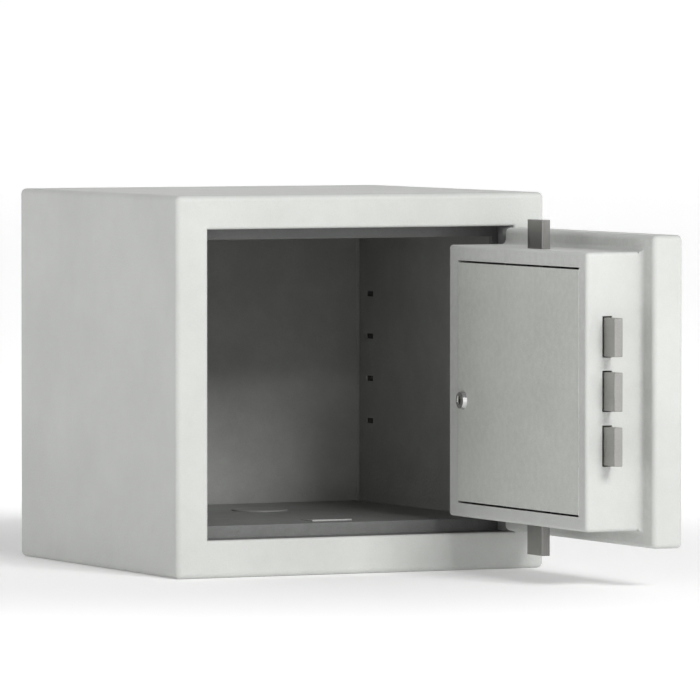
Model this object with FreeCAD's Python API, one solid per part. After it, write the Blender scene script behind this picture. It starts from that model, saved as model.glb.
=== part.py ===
import FreeCAD, Part
import os
from FreeCAD import Vector as V

# Compact double-walled steel safe with an inset door, millimetres, +Z up.
# Front faces -Y, +X is to the right seen from the front, the hinge is on the right.
# Construction axes: X = 0 at the left outer face, Y = 0 at the front face, Z = 0 at the base.
# On export everything is shifted so that the origin is the centre of the cabinet's underside.
# Door parts are drawn with the door shut and then swung open about the hinge line.

# ---- driving dimensions -------------------------------------------------
W, D, H = 396.0, 385.0, 370.0          # cabinet, outside
R_OUT = 5.5                            # rounding of the cabinet's outer edges
T_SH = 3.0                             # outer steel skin
OX0, OX1, OZ0, OZ1 = 33.0, 363.0, 36.7, 337.0   # door opening
JAMB = 33.0                            # depth of the opening in front of the lip
LIP_Y = 4.0                            # lip thickness front to back
LX0, LX1, LZ0, LZ1 = 43.0, 354.0, 48.5, 326.0   # clear mouth inside the lip
BACK_IN = 352.0                        # inner face of the rear wall
T_LIN = 1.5                            # inner liner sheet
FLOOR_TOP = 48.5                       # top of the inner floor
T_FLOOR = 2.0
SLOT_Y, SLOT_W, SLOT_H = (67.0, 328.3), 15.4, 5.4      # shelf-hook slots
SLOT_Z = (131.0, 174.1, 217.2, 260.3)
ANCH_X, ANCH_Y = 198.0, 238.0          # floor anchor hole
R_ANCH = 6.5
PX, PY = 368.0, 15.0                   # hinge line
OPEN_DEG = 90.0                        # door swing from shut to rest
LEAF = (35.0, 351.0, 0.0, 32.0, 38.2, 335.5)    # door leaf x0 x1 y0 y1 z0 z1
R_LEAF, T_LEAF = 5.0, 3.0
BOX = (57.0, 352.0, 32.0, 92.0, 54.5, 319.5)    # boltwork casing behind the leaf
R_BOX, T_BOX = 3.5, 2.0
AP = (72.2, 331.9, 68.0, 304.8)        # access aperture x0 x1 z0 z1
PAN = (74.8, 331.4, 70.0, 302.8)       # access panel
HP = (73.5, 91.4)                      # access panel hinge line x, y
CAMX, CAMZ = 321.0, 168.6              # cam lock of the access panel
ZC = 187.0                             # mid height of the door
CX = 191.25                            # boltwork centre line
THROW = 31.0                           # bolt travel
LB_Z = (135.9, 187.8, 239.4)            # side bolts
LB_H, LB_Y0, LB_Y1, LB_X0, LB_X1 = 36.8, 65.3, 74.0, 33.6, 92.0
VB_W, VB_Y0, VB_Y1 = 31.5, 70.2, 79.0   # top and bottom bolts
VB_TOP, VB_BOT = 347.5, 24.7
R_CAM = THROW / 2 ** 0.5                # crank radius of the drive pins
R_PIN = 3.0
LASH = 0.95                            # play of a drive pin in its slot, each side
HZ = (88.0, 286.0)                     # hinge knuckle mid heights
KN = 26.0                              # half height of a hinge knuckle
R_HPIN, R_BUSH, R_KN = 5.0, 6.5, 9.0

os.makedirs("parts", exist_ok=True)
NODES = {}
SHIFT = V(-W / 2.0, -D / 2.0, 0)


def box(x0, x1, y0, y1, z0, z1):
    return Part.makeBox(x1 - x0, y1 - y0, z1 - z0, V(x0, y0, z0))


def cyl(r, x, y, z, length, axis="Z"):
    d = {"X": V(1, 0, 0), "Y": V(0, 1, 0), "Z": V(0, 0, 1)}[axis]
    return Part.makeCylinder(r, length, V(x, y, z), d)


def fuse(*s):
    out = s[0]
    for t in s[1:]:
        out = out.fuse(t)
    return out.removeSplitter()


def cut(a, *s):
    for t in s:
        a = a.cut(t)
    return a


def rbox(b, r, keep=None):
    s = box(*b)
    es = [e for e in s.Edges if keep is None or keep(e)]
    return s.makeFillet(r, es)


def edges(s, test):
    return [e for e in s.Edges if test(e)]


def mid(e):
    b = e.BoundBox
    return V((b.XMin + b.XMax) / 2, (b.YMin + b.YMax) / 2, (b.ZMin + b.ZMax) / 2)


def put(name, shape, door=False):
    s = shape.copy()
    if door:
        s.rotate(V(PX, PY, 0), V(0, 0, 1), OPEN_DEG)
    s.translate(SHIFT)
    NODES[name] = s


def group(*s):
    return Part.makeCompound(list(s))


# ======================= cabinet ========================================
# hinge pockets: a corner notch at each knuckle, open to the front and to the opening
notches = [box(OX1 - 6, PX + 10.5, -2, PY + 10.5, z - KN - 1.2, z + KN + 1.2) for z in HZ]
houses = [box(OX1 + 3, PX + 15, T_SH, PY + 15, z - 40, z + 40) for z in HZ]

shell = rbox((0, W, 0, D, 0, H), R_OUT)
shell = cut(shell, box(T_SH, W - T_SH, T_SH, D - T_SH, T_SH, H - T_SH),
            box(OX0, OX1, -5, T_SH + 5, OZ0, OZ1),
            cyl(R_ANCH, ANCH_X, ANCH_Y, -1, 6))
rim = [e for e in edges(shell, lambda e: abs(e.BoundBox.YMin) < 1e-4 and abs(e.BoundBox.YMax) < 1e-4)
       if OX0 - 0.1 <= mid(e).x <= OX1 + 0.1 and OZ0 - 0.1 <= mid(e).z <= OZ1 + 0.1]
shell = shell.makeFillet(2.6, rim)
shell = cut(shell, *notches)
# the shell is welded up from a front frame, two sides, a top, a base and a back plate
put("shell_front", shell.common(box(-1, W + 1, -1, T_SH, -1, H + 1)))
put("shell_left", shell.common(box(-1, T_SH, T_SH, D + 1, -1, H + 1)))
put("shell_right", shell.common(box(W - T_SH, W + 1, T_SH, D + 1, -1, H + 1)))
put("shell_top", shell.common(box(T_SH, W - T_SH, T_SH, D + 1, H - T_SH, H + 1)))
put("shell_bottom", shell.common(box(T_SH, W - T_SH, T_SH, D + 1, -1, T_SH)))
put("shell_back", shell.common(box(T_SH, W - T_SH, D - T_SH, D + 1, T_SH, H - T_SH)))

# jambs of the doorway and the rebate lip that stops the leaf and holds the bolts
pin_holes = [cyl(R_HPIN, PX, PY, z - 36, 72) for z in HZ]
jambs = cut(box(OX0 - 3, OX1 + 3, T_SH, JAMB + LIP_Y, OZ0 - 3, OZ1 + 3), box(OX0, OX1, 0, 60, OZ0, OZ1))
put("door_jambs", cut(jambs, *(notches + pin_holes)))
lip = cut(box(OX0, OX1, JAMB, JAMB + LIP_Y, OZ0, OZ1), box(LX0, LX1, 0, 60, LZ0, LZ1))
lip = lip.makeFillet(0.8, [e for e in lip.Edges if abs(e.BoundBox.YMin - JAMB) < 1e-4
                           and abs(e.BoundBox.YMax - JAMB) < 1e-4
                           and LX0 - 0.1 <= mid(e).x <= LX1 + 0.1 and LZ0 - 0.1 <= mid(e).z <= LZ1 + 0.1])
put("rebate_lip", lip)

# half-round hinge post welded to the right jamb
post = cyl(14.0, PX, PY, OZ0 + 0.5, OZ1 - OZ0 - 1.0)
post = post.common(box(PX - 20, OX1, 0, 40, 0, 400))
post = cut(post, *[box(PX - 20, OX1 + 1, -2, 40, z - KN - 1.2, z + KN + 1.2) for z in HZ])
put("hinge_post", group(*post.Solids))

# hinge housings: steel blocks behind the skin that carry the pins
for nm, z, h, n in (("hinge_housing_bottom", HZ[0], houses[0], notches[0]),
                    ("hinge_housing_top", HZ[1], houses[1], notches[1])):
    put(nm, cut(h, n, cyl(R_HPIN, PX, PY, z - 36, 72)))
put("hinge_pins", group(*[cyl(R_HPIN, PX, PY, z - 36, 72) for z in HZ]))
put("hinge_washers", group(*[cut(cyl(R_KN, PX, PY, z - KN - 1.2, 1.0), cyl(R_HPIN + 0.05, PX, PY, z - KN - 2, 4))
                             for z in HZ]))

# inner liner: five-sided tray with hook slots, open to the front
ly0 = JAMB + LIP_Y
lin = box(OX0 - T_LIN, OX1 + T_LIN, ly0, BACK_IN + T_LIN, OZ0 - T_LIN, OZ1 + T_LIN)
lin = cut(lin, box(OX0, OX1, ly0 - 1, BACK_IN, OZ0, OZ1))
slot_cut, slot_deep = [], []
for y in SLOT_Y:
    for z in SLOT_Z:
        slot_cut.append(box(OX0 - 5, OX0 + 5, y - SLOT_W / 2, y + SLOT_W / 2, z - SLOT_H / 2, z + SLOT_H / 2))
        slot_cut.append(box(OX1 - 5, OX1 + 5, y - SLOT_W / 2, y + SLOT_W / 2, z - SLOT_H / 2, z + SLOT_H / 2))
        slot_deep.append(box(OX0 - 12, OX0 + 5, y - SLOT_W / 2, y + SLOT_W / 2, z - SLOT_H / 2, z + SLOT_H / 2))
        slot_deep.append(box(OX1 - 5, OX1 + 12, y - SLOT_W / 2, y + SLOT_W / 2, z - SLOT_H / 2, z + SLOT_H / 2))
bx0, bx1 = CX - VB_W / 2 - 1.8, CX + VB_W / 2 + 2.2     # bolt pocket in floor and ceiling
by0, by1 = 68.0, 81.5
top_pocket = box(bx0 - 1.5, bx1 + 1.5, by0 - 1.5, by1 + 1.5, OZ1 - 10, OZ1 + 16)
bot_pocket = box(bx0 - 1.5, bx1 + 1.5, by0 - 1.5, by1 + 1.5, 17.5, FLOOR_TOP + 5)
anch = cyl(10.0, ANCH_X, ANCH_Y, 2, 60)
lin = cut(lin, top_pocket, bot_pocket, anch, *slot_cut)
put("inner_liner", lin)

# insulation slabs between the skins
fx0, fx1, fy1, fz0, fz1 = T_SH, W - T_SH, D - T_SH, T_SH, H - T_SH
put("filling_bottom", cut(box(fx0, fx1, T_SH, fy1, fz0, OZ0 - 3), bot_pocket, anch))
put("filling_top", cut(box(fx0, fx1, T_SH, fy1, OZ1 + 3, fz1), top_pocket))
put("filling_left", cut(box(fx0, OX0 - 3, T_SH, fy1, OZ0 - 3, OZ1 + 3), *slot_deep))
put("filling_right", cut(box(OX1 + 3, fx1, T_SH, fy1, OZ0 - 3, OZ1 + 3), *(slot_deep + houses + notches)))
put("filling_back", box(OX0 - 3, OX1 + 3, BACK_IN + T_LIN, fy1, OZ0 - 3, OZ1 + 3))

# raised floor: board and steel plate
hole = cyl(19.0, ANCH_X, ANCH_Y, 30, 30)
put("floor_board", cut(box(OX0, OX1, ly0, BACK_IN, OZ0, FLOOR_TOP - T_FLOOR), bot_pocket, hole))
put("floor_plate", cut(box(OX0 + 0.5, OX1 - 0.5, ly0, BACK_IN - 0.5, FLOOR_TOP - T_FLOOR, FLOOR_TOP), bot_pocket, hole))
put("anchor_sleeve", cut(cyl(10.0, ANCH_X, ANCH_Y, T_SH, OZ0 - T_SH), cyl(R_ANCH, ANCH_X, ANCH_Y, 0, 60)))
cap = cyl(28.0, ANCH_X, ANCH_Y, FLOOR_TOP, 1.6)
cap = cap.makeFillet(0.9, [e for e in cap.Edges if abs(e.BoundBox.ZMin - FLOOR_TOP - 1.6) < 1e-4
                           and abs(e.BoundBox.ZMax - FLOOR_TOP - 1.6) < 1e-4])
cap = fuse(cap, cut(cyl(18.8, ANCH_X, ANCH_Y, FLOOR_TOP - 6, 6), cyl(17.0, ANCH_X, ANCH_Y, FLOOR_TOP - 7, 7)))
put("anchor_cap", cap)

# strike cups that the top and bottom bolts enter
bcup = cut(box(bx0 - 1.5, bx1 + 1.5, by0 - 1.5, by1 + 1.5, 17.5, FLOOR_TOP), box(bx0, bx1, by0, by1, 19, 60))
brim = fuse(cut(box(bx0 - 2.8, bx1 + 4.5, 57.0, by1 + 3, FLOOR_TOP, FLOOR_TOP + 0.4), box(bx0, bx1, by0, by1, 19, 60)),
            box(bx0 - 2.8, bx1 + 4.5, 57.0, 60.0, FLOOR_TOP, FLOOR_TOP + 1.4))
put("bottom_strike", fuse(bcup, brim))
tcup = cut(box(bx0 - 1.5, bx1 + 1.5, by0 - 1.5, by1 + 1.5, OZ1, OZ1 + 16), box(bx0, bx1, by0, by1, OZ1 - 5, OZ1 + 14.5))
trim = fuse(cut(box(bx0 - 2.8, bx1 + 4.5, 57.0, by1 + 3, OZ1 - 0.4, OZ1), box(bx0, bx1, by0, by1, OZ1 - 5, OZ1 + 14.5)),
            box(bx0 - 2.8, bx1 + 4.5, 57.0, 60.0, OZ1 - 1.4, OZ1))
put("top_strike", fuse(tcup, trim))

# ======================= door leaf ======================================
lx0, lx1, lyf, lyb, lz0, lz1 = LEAF
KHX, KHZ = CX, ZC                       # key hole
KNX, KNZ = 135.0, ZC                    # pull knob
leaf = rbox(LEAF, R_LEAF)
leaf = cut(leaf, box(lx0 + T_LEAF, lx1 - T_LEAF, T_LEAF, lyb - T_LEAF, lz0 + T_LEAF, lz1 - T_LEAF),
           cyl(8.0, KHX, -1, KHZ, 40, "Y"), cyl(4.2, KNX, -1, KNZ, 40, "Y"))
put("leaf_shell", leaf, True)
fill = cut(box(lx0 + 3.2, lx1 - 3.2, 3.0, 24.0, lz0 + 3.2, lz1 - 3.2),
           cyl(8.0, KHX, -1, KHZ, 40, "Y"), cyl(4.2, KNX, -1, KNZ, 40, "Y"))
put("leaf_filling", fill, True)
put("hard_plate", cut(box(KHX - 52, KHX + 52, 24.0, 29.0, KHZ - 62, KHZ + 62),
                      cyl(8.0, KHX, -1, KHZ, 40, "Y")), True)

# hinge arms: a barrel on the hinge line, joined to the leaf's edge
for nm, z in (("hinge_arm_bottom", HZ[0]), ("hinge_arm_top", HZ[1])):
    a = fuse(cyl(R_KN, PX, PY, z - KN, 2 * KN), box(lx1, PX, PY - 7, PY + 7, z - KN, z + KN))
    put(nm, cut(a, cyl(R_BUSH, PX, PY, z - KN - 1, 2 * KN + 2)), True)
put("hinge_bushes", group(*[cut(cyl(R_BUSH, PX, PY, z - KN, 2 * KN), cyl(R_HPIN + 0.04, PX, PY, z - KN - 1, 2 * KN + 2))
                            for z in HZ]), True)

# ======================= boltwork casing ================================
b0x, b1x, b0y, b1y, b0z, b1z = BOX
bx = rbox(BOX, R_BOX, lambda e: e.BoundBox.YMax > b0y + 1)
bx = cut(bx, box(b0x + T_BOX, b1x - T_BOX, b0y - 1, b1y - T_BOX, b0z + T_BOX, b1z - T_BOX),
         box(AP[0], AP[1], b1y - 10, b1y + 5, AP[2], AP[3]))
for z in LB_Z:
    bx = cut(bx, box(b0x - 2, b0x + 6, LB_Y0 - 0.7, LB_Y1 + 0.9, z - LB_H / 2 - 1.2, z + LB_H / 2 + 1.2))
for zz in (b0z, b1z):
    bx = cut(bx, box(CX - VB_W / 2 - 1, CX + VB_W / 2 + 1, VB_Y0 - 1, VB_Y1 + 1.2, zz - 6, zz + 6))
ret = box(AP[1], AP[1] + 1.5, 82.0, b1y - T_BOX, AP[2], AP[3])
bx = fuse(bx, ret)
put("boltwork_casing", bx, True)

# access panel with rolled knuckles on its left edge
seg = (PAN[3] - PAN[2]) / 5.0
pan = box(PAN[0], PAN[1], b1y - T_BOX, b1y, PAN[2], PAN[3])
fixed = None
for i in range(5):
    z0, z1 = PAN[2] + i * seg + 0.3, PAN[2] + (i + 1) * seg - 0.3
    k = cyl(1.0, HP[0], HP[1], z0, z1 - z0)
    if i % 2:
        pan = fuse(pan, k, box(HP[0] + 0.3, PAN[0] + 0.5, HP[1] - 0.8, b1y, z0, z1))
    else:
        k = fuse(k, box(AP[0], HP[0] - 0.3, HP[1] - 0.8, b1y, z0, z1))
        fixed = k if fixed is None else fixed.fuse(k)
bore = cyl(0.55, HP[0], HP[1], PAN[2] - 1, PAN[3] - PAN[2] + 2)
pan = cut(pan, bore, cyl(8.0, CAMX, 80, CAMZ, 20, "Y"))
put("access_panel", pan, True)
put("panel_hinge_knuckles", group(*cut(fixed, bore).Solids), True)
put("panel_hinge_wire", cyl(0.5, HP[0], HP[1], PAN[2] - 0.8, PAN[3] - PAN[2] + 1.6), True)

# cam lock on the access panel
ch = fuse(cyl(8.0, CAMX, 74.0, CAMZ, 18.0, "Y"),
          Part.makeCone(9.4, 8.0, 3.6, V(CAMX, b1y, CAMZ), V(0, 1, 0)))
ch = cut(ch, cyl(5.6, CAMX, 70, CAMZ, 30, "Y"))
put("cam_lock_housing", ch, True)
nut = Part.Face(Part.makePolygon([V(CAMX + 11.5 * c, 84.0, CAMZ + 11.5 * s) for c, s in
      ((1, 0), (.5, .8660254), (-.5, .8660254), (-1, 0), (-.5, -.8660254), (.5, -.8660254), (1, 0))])).extrude(V(0, 6, 0))
nut = nut.common(box(CAMX - 20, AP[1] - 0.9, 80, 95, 0, 400))
put("cam_lock_nut", cut(nut, cyl(8.0, CAMX, 70, CAMZ, 30, "Y")), True)
plug = cyl(5.55, CAMX, 76.0, CAMZ, 19.2, "Y")
plug = cut(plug, box(CAMX - 0.9, CAMX + 0.9, 85, 96, CAMZ - 3.9, CAMZ + 3.9), cyl(1.7, CAMX, 85, CAMZ, 12, "Y"))
put("cam_lock_plug", fuse(plug, cyl(3.0, CAMX, 71.0, CAMZ, 6, "Y")), True)
tng = fuse(cyl(7.0, CAMX, 71.5, CAMZ, 2.2, "Y"), box(CAMX - 5, CAMX + 5, 71.5, 73.7, CAMZ - 18, CAMZ))
tng = cut(tng, cyl(3.0, CAMX, 60, CAMZ, 30, "Y"))
put("cam_lock_tongue", tng, True)

# ======================= boltwork =======================================
side = [rbox((LB_X0, LB_X1, LB_Y0, LB_Y1, z - LB_H / 2, z + LB_H / 2), 0.7) for z in LB_Z]
put("side_bolts", group(*side), True)
# carrier bar and drive arm of the side bolts
arm_y0, arm_y1 = 54.0, 60.0
px_ = CX - R_CAM * 0.70710678
pz_ = ZC + R_CAM * 0.70710678
hs = R_PIN + LASH
carr = fuse(box(80, 98, arm_y0, LB_Y0, 112, 262),
            box(97, px_ + hs + 6, arm_y0, arm_y1, ZC + 7.5, ZC + 30.5))
carr = cut(carr, box(px_ - hs, px_ + hs, arm_y0 - 1, arm_y1 + 1,
                     ZC + R_CAM * 0.70710678 - hs - 0.4, ZC + R_CAM + hs + 0.4))
put("bolt_carrier", carr, True)

# top and bottom bolts with their driven feet
xr = CX + R_CAM * 0.70710678
xl = CX - R_CAM * 0.70710678
zu = ZC + R_CAM * 0.70710678
zd = ZC - R_CAM * 0.70710678
vx0, vx1 = CX - VB_W / 2, CX + VB_W / 2
tb = fuse(box(vx0, vx1, VB_Y0, VB_Y1, 243, VB_TOP),
          box(CX + 2.0, CX + R_CAM + hs + 6, VB_Y0, VB_Y1, zu - hs - 5, 250))
tb = cut(tb, box(xr - hs - 0.4, CX + R_CAM + hs + 0.4, VB_Y0 - 1, VB_Y1 + 1, zu - hs, zu + hs))
tb = tb.makeFillet(0.7, [e for e in tb.Edges if abs(mid(e).z - VB_TOP) < 1e-3 or
                         (abs(e.BoundBox.ZMax - VB_TOP) < 1e-3 and e.BoundBox.ZLength > 60)])
put("top_bolt", tb, True)
bb = fuse(box(vx0, vx1, VB_Y0, VB_Y1, VB_BOT, 131),
          box(CX - R_CAM - hs - 6, CX - 2.0, VB_Y0, VB_Y1, 124, zd + hs + 5))
bb = cut(bb, box(CX - R_CAM - hs - 0.4, xl + hs + 0.4, VB_Y0 - 1, VB_Y1 + 1, zd - hs, zd + hs))
bb = bb.makeFillet(0.7, [e for e in bb.Edges if abs(mid(e).z - VB_BOT) < 1e-3 or
                         (abs(e.BoundBox.ZMin - VB_BOT) < 1e-3 and e.BoundBox.ZLength > 60)])
put("bottom_bolt", bb, True)

# drive disc: front pin works the carrier, two rear pins work the top and bottom bolts
disc = fuse(cyl(28.0, CX, 62.0, ZC, 6.0, "Y"),
            cyl(R_PIN, px_, arm_y0 + 0.5, pz_, 62.5 - arm_y0 - 0.5, "Y"),
            cyl(R_PIN, xr, 67.5, zu, 13.5, "Y"), cyl(R_PIN, xl, 67.5, zd, 13.5, "Y"))
disc = cut(disc, cyl(5.0, CX, 60, ZC, 20, "Y"))
put("drive_disc", disc, True)
put("drive_spindle", fuse(cyl(5.0, CX, 38.0, ZC, 32.0, "Y"), cyl(8.0, CX, 60.3, ZC, 1.7, "Y"),
                          box(CX - 2, CX + 2, 40, 44, ZC - 14, ZC)), True)

# guides
g = fuse(box(66, 71, b0y, 76.5, 108, 266), box(66, 89, b0y, b0y + 3, 108, 266))
for z in LB_Z:
    g = cut(g, box(60, 78, LB_Y0 - 0.35, LB_Y1 + 0.35, z - LB_H / 2 - 0.35, z + LB_H / 2 + 0.35))
put("side_bolt_guide", g, True)
for nm, z0, dz in (("rod_guide_top", 292.0, 1), ("rod_guide_bottom", 78.0, -1)):
    g = fuse(box(CX - 30, CX + 30, b0y, 88, z0, z0 + 4),
             box(CX - 30, CX + 30, b0y, b0y + 3, min(z0, z0 + dz * 20), max(z0 + 4, z0 + 4 + dz * 16)))
    put(nm, cut(g, box(vx0 - 0.35, vx1 + 0.35, VB_Y0 - 0.35, VB_Y1 + 0.35, z0 - 30, z0 + 30)
                .common(box(0, 400, 40, 100, z0 - 2, z0 + 6))), True)

# key lock: case, cover and lever pack
lc = (CX - 36, CX + 36, b0y, 50.0, ZC - 40, ZC + 40)
case = cut(box(*lc), box(lc[0] + 2, lc[1] - 2, lc[2] + 2, lc[3] + 1, lc[4] + 2, lc[5] - 2),
           cyl(8.0, KHX, 20, KHZ, 20, "Y"))
put("lock_case", case, True)
put("lock_cover", cut(box(lc[0], lc[1], 50.0, 52.0, lc[4], lc[5]), cyl(5.05, CX, 45, ZC, 20, "Y")), True)
lev = []
for i in range(4):
    y0 = 35.2 + i * 1.0
    lev.append(cut(box(CX - 30, CX + 26, 34.4 + i * 0.9, 35.1 + i * 0.9, ZC + 10, ZC + 34), cyl(2.4, CX - 24, 30, ZC + 28, 12, "Y")))
put("lock_levers", group(*lev), True)
put("lever_post", cyl(2.35, CX - 24, 34.0, ZC + 28, 6.0, "Y"), True)

# screws of the mechanism: pan heads on the lock cover
scr = []
for sx in (-31, 31):
    for sz in (-35, 35):
        scr.append(fuse(cyl(3.6, CX + sx, 52.0, ZC + sz, 1.6, "Y")))
put("lock_screws", group(*scr), True)

# outside furniture: key guide tube, rosette, swinging cover, pull knob
put("key_guide_tube", cut(cyl(8.0, KHX, 0.0, KHZ, 32.0, "Y"), cyl(5.5, KHX, -1, KHZ, 40, "Y")), True)
ros = cyl(23.0, KHX, -3.0, KHZ, 3.0, "Y")
ros = ros.makeFillet(1.6, [e for e in ros.Edges if abs(e.BoundBox.YMin + 3) < 1e-4 and abs(e.BoundBox.YMax + 3) < 1e-4])
ros = cut(ros, cyl(4.0, KHX, -5, KHZ + 2.5, 10, "Y"), box(KHX - 2.2, KHX + 2.2, -5, 5, KHZ - 9, KHZ + 3),
          cyl(2.0, KHX, -5, KHZ + 17, 10, "Y"))
put("key_rosette", ros, True)
fl = fuse(cyl(5.0, KHX, -5.2, KHZ + 17, 1.9, "Y"), cyl(10.5, KHX, -5.2, KHZ - 2, 1.9, "Y"),
          box(KHX - 5, KHX + 5, -5.2, -3.3, KHZ - 2, KHZ + 17))
fl = fl.makeFillet(0.6, [e for e in fl.Edges if abs(e.BoundBox.YMin + 5.2) < 1e-4 and abs(e.BoundBox.YMax + 5.2) < 1e-4])
put("key_cover", cut(fl, cyl(2.05, KHX, -7, KHZ + 17, 10, "Y")), True)
put("key_cover_rivet", fuse(cyl(2.0, KHX, -5.6, KHZ + 17, 5.6, "Y"), cyl(3.2, KHX, -6.6, KHZ + 17, 1.0, "Y")), True)
prof = [V(0, 0, 0), V(11, 0, 0), V(11, -2, 0), V(7, -4.5, 0), V(6.2, -14, 0), V(9, -19, 0), V(16, -23, 0),
        V(17, -27, 0), V(15.5, -31, 0), V(8, -33.5, 0), V(0, -34, 0)]
bs = Part.BSplineCurve()
bs.interpolate(prof[2:])
w = Part.Wire([Part.makeLine(prof[0], prof[1]), Part.makeLine(prof[1], prof[2]), bs.toShape(), Part.makeLine(prof[-1], prof[0])])
knob = Part.Face(w).revolve(V(0, 0, 0), V(0, 1, 0), 360)
knob = Part.Solid(knob) if knob.ShapeType != "Solid" else knob
if knob.Volume < 0:
    knob.reverse()
knob = cut(knob, cyl(3.0, 0, -22, 0, 30, "Y"))
knob.translate(V(KNX, 0, KNZ))
put("pull_knob", knob, True)
put("knob_stud", fuse(cyl(3.0, KNX, -21.0, KNZ, 54.5, "Y"), cyl(7.0, KNX, 33.0 - 1.0, KNZ, 4.0, "Y")), True)

# ---- export -------------------------------------------------------------
for name, s in NODES.items():
    ok = s.isValid() and all(x.isValid() for x in s.Solids) and len(s.Solids) > 0
    print("%-22s solids %d volume %10.1f %s" % (name, len(s.Solids), sum(x.Volume for x in s.Solids), "" if ok else "INVALID"))
    s.exportStep("parts/%s.step" % name)
print("nodes", len(NODES))
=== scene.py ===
import math
import bpy
import bmesh
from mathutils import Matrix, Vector


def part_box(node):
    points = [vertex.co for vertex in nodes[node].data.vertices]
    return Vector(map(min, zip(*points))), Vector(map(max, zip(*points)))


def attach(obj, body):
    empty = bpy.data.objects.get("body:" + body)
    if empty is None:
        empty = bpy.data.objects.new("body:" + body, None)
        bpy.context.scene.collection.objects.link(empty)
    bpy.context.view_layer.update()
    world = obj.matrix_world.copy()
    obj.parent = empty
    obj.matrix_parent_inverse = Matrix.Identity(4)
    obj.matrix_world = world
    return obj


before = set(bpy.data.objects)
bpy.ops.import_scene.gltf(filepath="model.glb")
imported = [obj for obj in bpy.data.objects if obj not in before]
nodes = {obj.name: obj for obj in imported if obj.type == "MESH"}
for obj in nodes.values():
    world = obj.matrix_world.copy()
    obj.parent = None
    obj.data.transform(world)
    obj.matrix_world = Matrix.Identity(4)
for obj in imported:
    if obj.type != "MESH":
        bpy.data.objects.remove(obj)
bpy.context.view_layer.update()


# ---- materials ---------------------------------------------------------------
def new_mat(name):
    m = bpy.data.materials.new(name)
    m.use_nodes = True
    nt = m.node_tree
    bsdf = next(n for n in nt.nodes if n.type == "BSDF_PRINCIPLED")
    return m, nt, bsdf


def noise(nt, coord, scale, detail=3.0, rough=0.55, stretch=(1, 1, 1)):
    mp = nt.nodes.new("ShaderNodeMapping")
    mp.inputs["Scale"].default_value = stretch
    nt.links.new(coord.outputs["Object"], mp.inputs["Vector"])
    n = nt.nodes.new("ShaderNodeTexNoise")
    n.inputs["Scale"].default_value = scale
    n.inputs["Detail"].default_value = detail
    n.inputs["Roughness"].default_value = rough
    nt.links.new(mp.outputs["Vector"], n.inputs["Vector"])
    return n


def ramp(nt, src, stops):
    r = nt.nodes.new("ShaderNodeValToRGB")
    e = r.color_ramp.elements
    while len(e) < len(stops):
        e.new(0.5)
    for k, (p, c) in enumerate(stops):
        e[k].position = p
        e[k].color = (*c, 1) if len(c) == 3 else c
    nt.links.new(src, r.inputs["Fac"])
    return r


def maprange(nt, src, lo, hi):
    r = nt.nodes.new("ShaderNodeMapRange")
    r.inputs["From Min"].default_value = 0.3
    r.inputs["From Max"].default_value = 0.7
    r.inputs["To Min"].default_value = lo
    r.inputs["To Max"].default_value = hi
    nt.links.new(src, r.inputs["Value"])
    return r


def mix(nt, fac, a, b, mode="MIX"):
    m = nt.nodes.new("ShaderNodeMix")
    m.data_type = "RGBA"
    m.blend_type = mode
    for sock, v in (("Factor", fac), ("A", a), ("B", b)):
        idx = {"Factor": 0, "A": 6, "B": 7}[sock]
        if hasattr(v, "links") or hasattr(v, "is_linked"):
            nt.links.new(v, m.inputs[idx])
        else:
            m.inputs[idx].default_value = v if sock == "Factor" else (*v, 1)
    return m.outputs[2]


def bump(nt, bsdf, heights):
    prev = None
    for src, strength, dist in heights:
        b = nt.nodes.new("ShaderNodeBump")
        b.inputs["Strength"].default_value = strength
        b.inputs["Distance"].default_value = dist
        nt.links.new(src, b.inputs["Height"])
        if prev is not None:
            nt.links.new(prev, b.inputs["Normal"])
        prev = b.outputs["Normal"]
    nt.links.new(prev, bsdf.inputs["Normal"])


def painted(name, col, contrast=0.05, grain=1500.0, grain_strength=0.3, rough=(0.40, 0.52), edge_lift=0.3):
    """Powder coat: faint cloudy mottling, fine grain with an orange-peel swell, paler convex edges in patches."""
    m, nt, bsdf = new_mat(name)
    co = nt.nodes.new("ShaderNodeTexCoord")
    big = noise(nt, co, 9.0, 4.0, 0.6)
    mid = noise(nt, co, 60.0, 5.0, 0.65)
    fine = noise(nt, co, grain, 2.0, 0.5)
    peel = noise(nt, co, grain * 0.28, 2.0, 0.5)
    d = tuple(c * (1 - contrast) for c in col)
    l = tuple(min(1.0, c * (1 + contrast)) for c in col)
    r1 = ramp(nt, big.outputs["Fac"], [(0.35, d), (0.65, l)])
    r2 = ramp(nt, mid.outputs["Fac"], [(0.40, (1 - contrast * 0.6,) * 3), (0.62, (1, 1, 1))])
    c1 = mix(nt, 1.0, r1.outputs["Color"], r2.outputs["Color"], "MULTIPLY")
    r3 = ramp(nt, fine.outputs["Fac"], [(0.35, (0.95, 0.95, 0.95)), (0.6, (1, 1, 1))])
    c2 = mix(nt, 1.0, c1, r3.outputs["Color"], "MULTIPLY")
    # convex edges (high pointiness) are painted paler, in noise patches
    geo = nt.nodes.new("ShaderNodeNewGeometry")
    ed = ramp(nt, geo.outputs["Pointiness"], [(0.52, (0, 0, 0)), (0.60, (edge_lift, edge_lift, edge_lift))])
    br = noise(nt, co, 140.0, 4.0, 0.6)
    bk = ramp(nt, br.outputs["Fac"], [(0.42, (0.2, 0.2, 0.2)), (0.62, (1, 1, 1))])
    f = mix(nt, 1.0, ed.outputs["Color"], bk.outputs["Color"], "MULTIPLY")
    c3 = mix(nt, f, c2, tuple(min(1.0, c * 1.22) for c in col))
    nt.links.new(c3, bsdf.inputs["Base Color"])
    rr = maprange(nt, mid.outputs["Fac"], rough[0], rough[1])
    nt.links.new(rr.outputs["Result"], bsdf.inputs["Roughness"])
    bsdf.inputs["Specular IOR Level"].default_value = 0.28
    bump(nt, bsdf, [(peel.outputs["Fac"], grain_strength, 0.0009), (fine.outputs["Fac"], grain_strength, 0.0003)])
    return m


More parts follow.
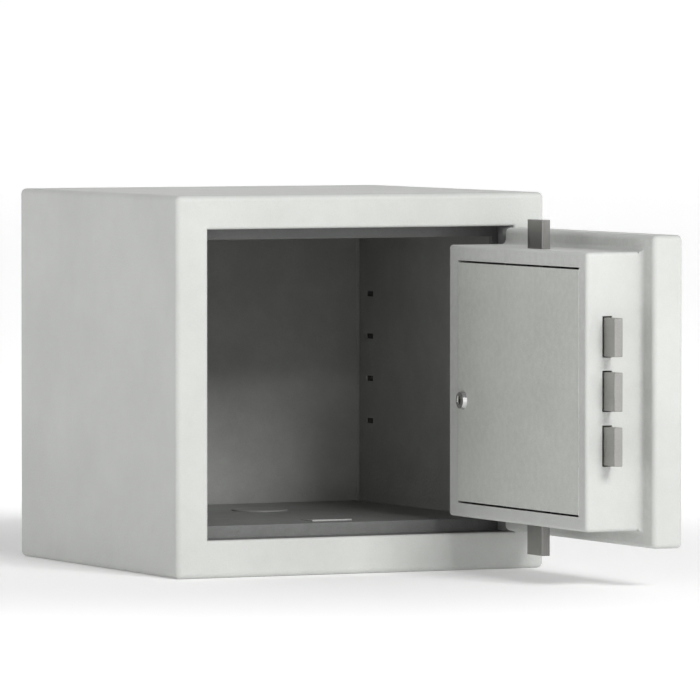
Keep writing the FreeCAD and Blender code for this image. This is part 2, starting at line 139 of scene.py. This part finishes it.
def metal(name, col, rough=(0.28, 0.42), stretch=(1, 1, 1), scale=900.0, contrast=0.12, strength=0.12, metallic=1.0, stain=0.1):
    """Worked steel or brass: directional grain, cloudy plating, dull patches and brighter edges."""
    m, nt, bsdf = new_mat(name)
    co = nt.nodes.new("ShaderNodeTexCoord")
    br = noise(nt, co, scale, 3.0, 0.6, stretch)
    cl = noise(nt, co, 70.0, 4.0, 0.6)
    d = tuple(c * (1 - contrast) for c in col)
    l = tuple(min(1.0, c * (1 + contrast)) for c in col)
    r1 = ramp(nt, br.outputs["Fac"], [(0.35, d), (0.65, l)])
    r2 = ramp(nt, cl.outputs["Fac"], [(0.38, (1 - stain,) * 3), (0.62, (1, 1, 1))])
    c1 = mix(nt, 1.0, r1.outputs["Color"], r2.outputs["Color"], "MULTIPLY")
    geo = nt.nodes.new("ShaderNodeNewGeometry")
    ed = ramp(nt, geo.outputs["Pointiness"], [(0.52, (0, 0, 0)), (0.62, (0.5, 0.5, 0.5))])
    c2 = mix(nt, ed.outputs["Color"], c1, tuple(min(1.0, c * 1.35) for c in col))
    nt.links.new(c2, bsdf.inputs["Base Color"])
    rr = maprange(nt, br.outputs["Fac"], rough[0], rough[1])
    nt.links.new(rr.outputs["Result"], bsdf.inputs["Roughness"])
    bsdf.inputs["Metallic"].default_value = metallic
    bump(nt, bsdf, [(br.outputs["Fac"], strength, 0.0001)])
    return m


def board(name, col):
    """Cast mineral filling: grains, pits and pale streaks."""
    m, nt, bsdf = new_mat(name)
    co = nt.nodes.new("ShaderNodeTexCoord")
    a = noise(nt, co, 120.0, 6.0, 0.7)
    b = nt.nodes.new("ShaderNodeTexVoronoi")
    b.inputs["Scale"].default_value = 260.0
    nt.links.new(co.outputs["Object"], b.inputs["Vector"])
    r1 = ramp(nt, a.outputs["Fac"], [(0.3, tuple(c * 0.75 for c in col)), (0.7, tuple(min(1, c * 1.2) for c in col))])
    r2 = ramp(nt, b.outputs["Distance"], [(0.05, (0.7, 0.7, 0.7)), (0.3, (1, 1, 1))])
    nt.links.new(mix(nt, 1.0, r1.outputs["Color"], r2.outputs["Color"], "MULTIPLY"), bsdf.inputs["Base Color"])
    rr = maprange(nt, a.outputs["Fac"], 0.75, 0.95)
    nt.links.new(rr.outputs["Result"], bsdf.inputs["Roughness"])
    bump(nt, bsdf, [(a.outputs["Fac"], 0.5, 0.0008), (b.outputs["Distance"], 0.4, 0.0005)])
    return m


GREY = (0.535, 0.545, 0.525)
M = {
    "shell": painted("powder_coat_shell", GREY, 0.035),
    "door": painted("powder_coat_door", GREY, 0.03),
    "casing": painted("powder_coat_casing", (0.55, 0.56, 0.54), 0.03),
    "panel": painted("powder_coat_panel", (0.535, 0.55, 0.52), 0.04),
    "jamb": painted("powder_coat_jamb", (0.17, 0.175, 0.17), 0.08, 1200.0, 0.5),
    "liner": painted("liner_paint", (0.31, 0.315, 0.30), 0.09, 1100.0, 0.5, (0.55, 0.7), 0.15),
    "floor": painted("floor_paint", (0.235, 0.24, 0.232), 0.10, 900.0, 0.6, (0.5, 0.7), 0.15),
    "cap": painted("cap_paint", (0.255, 0.26, 0.25), 0.08, 900.0, 0.3, (0.45, 0.6), 0.15),
    # painted shade: the upright bolts get a darker copy of the side bolts' plating, for the shade on them
    "bolt_z_shaded": metal("plated_bolt_upright_shaded", (0.25, 0.245, 0.237), (0.28, 0.42), (1, 1, 0.04), 1400.0),
    "bolt_y": metal("plated_bolt_side", (0.30, 0.295, 0.285), (0.28, 0.42), (1, 0.04, 1), 1400.0),
    "bright": metal("bright_zinc", (0.74, 0.74, 0.72), (0.25, 0.4), (0.05, 1, 1), 1200.0),
    "steel": metal("turned_steel", (0.52, 0.52, 0.51), (0.25, 0.4), (1, 1, 0.1), 1100.0),
    "plate": metal("plain_plate_steel", (0.36, 0.36, 0.36), (0.4, 0.6), (0.2, 1, 1), 500.0),
    "chrome": metal("polished_nickel", (0.70, 0.70, 0.69), (0.12, 0.24), (1, 1, 1), 700.0, 0.06, 0.05),
    "brass": metal("turned_brass", (0.72, 0.55, 0.26), (0.25, 0.4), (1, 1, 0.1), 900.0),
    "filling": board("mineral_filling", (0.10, 0.095, 0.09)),
}


def strike_painted_highlight():
    """Strike plate: painted like the floor, with a painted highlight: a bright band along its raised front edge."""
    m, nt, bsdf = new_mat("strike_painted_edge_highlight")
    co = nt.nodes.new("ShaderNodeTexCoord")
    sep = nt.nodes.new("ShaderNodeSeparateXYZ")
    nt.links.new(co.outputs["Object"], sep.inputs["Vector"])
    # painted highlight: where its y is below -0.1322 m, along the raised front edge, the strike is painted bright for
    # its lit edge
    highlight_band = nt.nodes.new("ShaderNodeMath")
    highlight_band.operation = "LESS_THAN"
    highlight_band.inputs[1].default_value = -0.1322
    nt.links.new(sep.outputs["Y"], highlight_band.inputs[0])
    n = noise(nt, co, 300.0, 4.0, 0.6)
    br = ramp(nt, n.outputs["Fac"], [(0.3, (0.36, 0.365, 0.35)), (0.7, (0.50, 0.505, 0.49))])
    dk = ramp(nt, n.outputs["Fac"], [(0.3, (0.16, 0.165, 0.16)), (0.7, (0.20, 0.205, 0.20))])
    nt.links.new(mix(nt, highlight_band.outputs["Value"], dk.outputs["Color"], br.outputs["Color"]), bsdf.inputs["Base Color"])
    rr = maprange(nt, n.outputs["Fac"], 0.45, 0.62)
    nt.links.new(rr.outputs["Result"], bsdf.inputs["Roughness"])
    bump(nt, bsdf, [(n.outputs["Fac"], 0.3, 0.0002)])
    return m


M["strike"] = strike_painted_highlight()
USE = {
    "strike": ["bottom_strike", "top_strike"],
    "shell": ["shell_front", "shell_left", "shell_right", "shell_top", "shell_bottom", "shell_back"],
    "door": ["leaf_shell", "hinge_arm_bottom", "hinge_arm_top"],
    "casing": ["boltwork_casing", "panel_hinge_knuckles"],
    "panel": ["access_panel"],
    "jamb": ["door_jambs", "rebate_lip", "hinge_post"],
    "liner": ["inner_liner"],
    "floor": ["floor_plate"],
    "cap": ["anchor_cap"],
    "bolt_z_shaded": ["top_bolt", "bottom_bolt"],
    "bolt_y": ["side_bolts", "bolt_carrier"],
    "bright": ["drive_disc", "lock_screws", "anchor_sleeve"],
    "steel": ["hinge_pins", "drive_spindle", "knob_stud", "lever_post", "panel_hinge_wire", "hinge_housing_bottom",
              "hinge_housing_top"],
    "plate": ["hard_plate", "lock_case", "lock_cover", "side_bolt_guide", "rod_guide_top", "rod_guide_bottom",
              "cam_lock_tongue"],
    "chrome": ["cam_lock_housing", "cam_lock_plug", "pull_knob", "key_rosette", "key_cover", "key_cover_rivet",
               "cam_lock_nut"],
    "brass": ["hinge_bushes", "hinge_washers", "lock_levers", "key_guide_tube"],
    "filling": ["filling_bottom", "filling_top", "filling_left", "filling_right", "filling_back", "floor_board",
                "leaf_filling"],
}
for key, names in USE.items():
    for n in names:
        ob = nodes[n]
        if not ob.material_slots:
            ob.data.materials.append(M[key])
        for s in ob.material_slots:
            s.material = M[key]
missing = [n for n in nodes if not any(n in v for v in USE.values())]
assert not missing, missing


# ---- extra pieces --------------------------------------------------------------
def mesh_piece(name, verts, faces, mat, body, bevel=0.0):
    me = bpy.data.meshes.new(name)
    bm = bmesh.new()
    vs = [bm.verts.new(v) for v in verts]
    for f in faces:
        bm.faces.new([vs[i] for i in f])
    bmesh.ops.recalc_face_normals(bm, faces=bm.faces)
    if bevel:
        bmesh.ops.bevel(bm, geom=list(bm.edges), offset=bevel, segments=2, affect="EDGES", profile=0.6)
    bm.to_mesh(me)
    bm.free()
    ob = bpy.data.objects.new(name, me)
    bpy.context.scene.collection.objects.link(ob)
    me.materials.append(mat)
    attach(ob, body)
    return ob


def block(lo, hi):
    v = [(x, y, z) for x in (lo[0], hi[0]) for y in (lo[1], hi[1]) for z in (lo[2], hi[2])]
    f = [(0, 1, 3, 2), (4, 6, 7, 5), (0, 4, 5, 1), (2, 3, 7, 6), (0, 2, 6, 4), (1, 5, 7, 3)]
    return v, f


lo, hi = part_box("inner_liner")
flo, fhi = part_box("floor_plate")
# folded lap where the liner's back meets its right side
inx, iny = hi[0] - 0.0015, hi[1] - 0.0015
v, f = block((inx - 0.0042, iny - 0.0009, fhi[2] + 0.0002), (inx - 0.0006, iny - 0.00005, hi[2] - 0.0016))
mesh_piece("liner_lap_right", v, f, M["liner"], "cabinet", 0.00025)
v, f = block((lo[0] + 0.0021, iny - 0.0009, fhi[2] + 0.0002), (lo[0] + 0.0057, iny - 0.00005, hi[2] - 0.0016))
mesh_piece("liner_lap_left", v, f, M["liner"], "cabinet", 0.00025)

# painted bead in the angle between the boltwork casing and the leaf
clo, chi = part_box("boltwork_casing")
xl_ = chi[0]                       # plane of the leaf's inner face
end_y = chi[1] - 0.004
rb = 0.0042
prof = [(0.0, 0.0), (rb, 0.0)] + [(rb - rb * math.sin(a), rb - rb * math.cos(a)) for a in
                                  [math.radians(k) for k in (15, 30, 45, 60, 75)]] + [(0.0, rb)]
verts, faces, n_p = [], [], len(prof)
for (py, sy, pz, sz) in ((end_y, 0, clo[2], -1), (clo[1], -1, clo[2], -1), (clo[1], -1, chi[2], 1), (end_y, 0, chi[2], 1)):
    for a, b in prof:
        verts.append((xl_ - b, py + sy * a, pz + sz * a))
for k in range(3):
    for j in range(n_p):
        j2 = (j + 1) % n_p
        faces.append((k * n_p + j, k * n_p + j2, (k + 1) * n_p + j2, (k + 1) * n_p + j))
faces.append(tuple(range(n_p)))
faces.append(tuple(range(3 * n_p, 4 * n_p)))
bead = mesh_piece("casing_joint_bead", verts, faces, M["casing"], "door")
bm = bmesh.new()
bm.from_mesh(bead.data)
for e in bm.edges:
    e.smooth = len(e.link_faces) == 2 and e.calc_face_angle(0.0) < 0.5
for f_ in bm.faces:
    f_.smooth = True
bm.to_mesh(bead.data)
bm.free()

# ---- floor ---------------------------------------------------------------------
me = bpy.data.meshes.new("stage_floor")
bm = bmesh.new()
# a round pale floor whose rim turns up far away, so that it looks the same from every side
ring = [(0.6, 0.0), (2.0, 0.0), (6.0, 0.0), (14.0, 0.0), (22.0, 0.0)]
ring += [(22.0 + 7.0 * math.sin(a), 7.0 - 7.0 * math.cos(a)) for a in [math.radians(k * 10) for k in range(1, 10)]]
ring += [(29.0, 16.0)]
seg = 64
mid_v = bm.verts.new((0, 0, -0.0002))
rows = [[bm.verts.new((r * math.cos(2 * math.pi * k / seg), r * math.sin(2 * math.pi * k / seg), z - 0.0002))
         for k in range(seg)] for r, z in ring]
for k in range(seg):
    bm.faces.new([mid_v, rows[0][k], rows[0][(k + 1) % seg]])
for a, b in zip(rows, rows[1:]):
    for k in range(seg):
        bm.faces.new([a[k], b[k], b[(k + 1) % seg], a[(k + 1) % seg]])
bm.to_mesh(me)
bm.free()
for p in me.polygons:
    p.use_smooth = True
floor = bpy.data.objects.new("stage_floor", me)
bpy.context.scene.collection.objects.link(floor)
fm, nt, bs = new_mat("stage_white")
co = nt.nodes.new("ShaderNodeTexCoord")
n = noise(nt, co, 3.0)
r = ramp(nt, n.outputs["Fac"], [(0.3, (0.90, 0.90, 0.90)), (0.7, (0.92, 0.92, 0.92))])
nt.links.new(r.outputs["Color"], bs.inputs["Base Color"])
bs.inputs["Roughness"].default_value = 0.9
bs.inputs["Specular IOR Level"].default_value = 0.1
bs.inputs["Emission Color"].default_value = (1, 1, 1, 1)
# the sweep glows a little, less so around the object
sep = nt.nodes.new("ShaderNodeVectorMath")
sep.operation = "LENGTH"
nt.links.new(co.outputs["Object"], sep.inputs[0])
glow = nt.nodes.new("ShaderNodeMapRange")
glow.interpolation_type = "SMOOTHSTEP"
glow.inputs["From Min"].default_value = 0.35
glow.inputs["From Max"].default_value = 1.3
glow.inputs["To Min"].default_value = 0.16
glow.inputs["To Max"].default_value = 0.46
nt.links.new(sep.outputs["Value"], glow.inputs["Value"])
nt.links.new(glow.outputs["Result"], bs.inputs["Emission Strength"])
me.materials.append(fm)

# ---- light ---------------------------------------------------------------------
sc = bpy.context.scene
sc.view_settings.view_transform = "Standard"
sc.view_settings.look = "None"
w = bpy.data.worlds.new("studio")
sc.world = w
w.use_nodes = True
bg = w.node_tree.nodes["Background"]
bg.inputs["Color"].default_value = (1, 1, 1, 1)
bg.inputs["Strength"].default_value = 0.27


def area(name, loc, target, size, power, col=(1, 1, 1)):
    d = bpy.data.lights.new(name, "AREA")
    d.shape = "RECTANGLE"
    d.size, d.size_y = size
    d.energy = power
    d.color = col
    o = bpy.data.objects.new(name, d)
    o.location = loc
    o.rotation_euler = (Vector(target) - Vector(loc)).to_track_quat("-Z", "Y").to_euler()
    sc.collection.objects.link(o)
    return o


area("key_front", (1.0, -8.3, 5.1), (0.05, -0.1, 0.18), (3.4, 2.3), 600.0)

# ---- camera --------------------------------------------------------------------
cam = bpy.data.cameras.new("camera")
cam.sensor_width = 36.0
cam.lens = 416.0
cam.clip_end = 100.0
co_ = bpy.data.objects.new("camera", cam)
co_.location = (-3.39003, -7.28885, 0.54023)
co_.rotation_euler = (math.radians(90 - 2.346), 0, math.radians(-25.446))
sc.collection.objects.link(co_)
sc.camera = co_
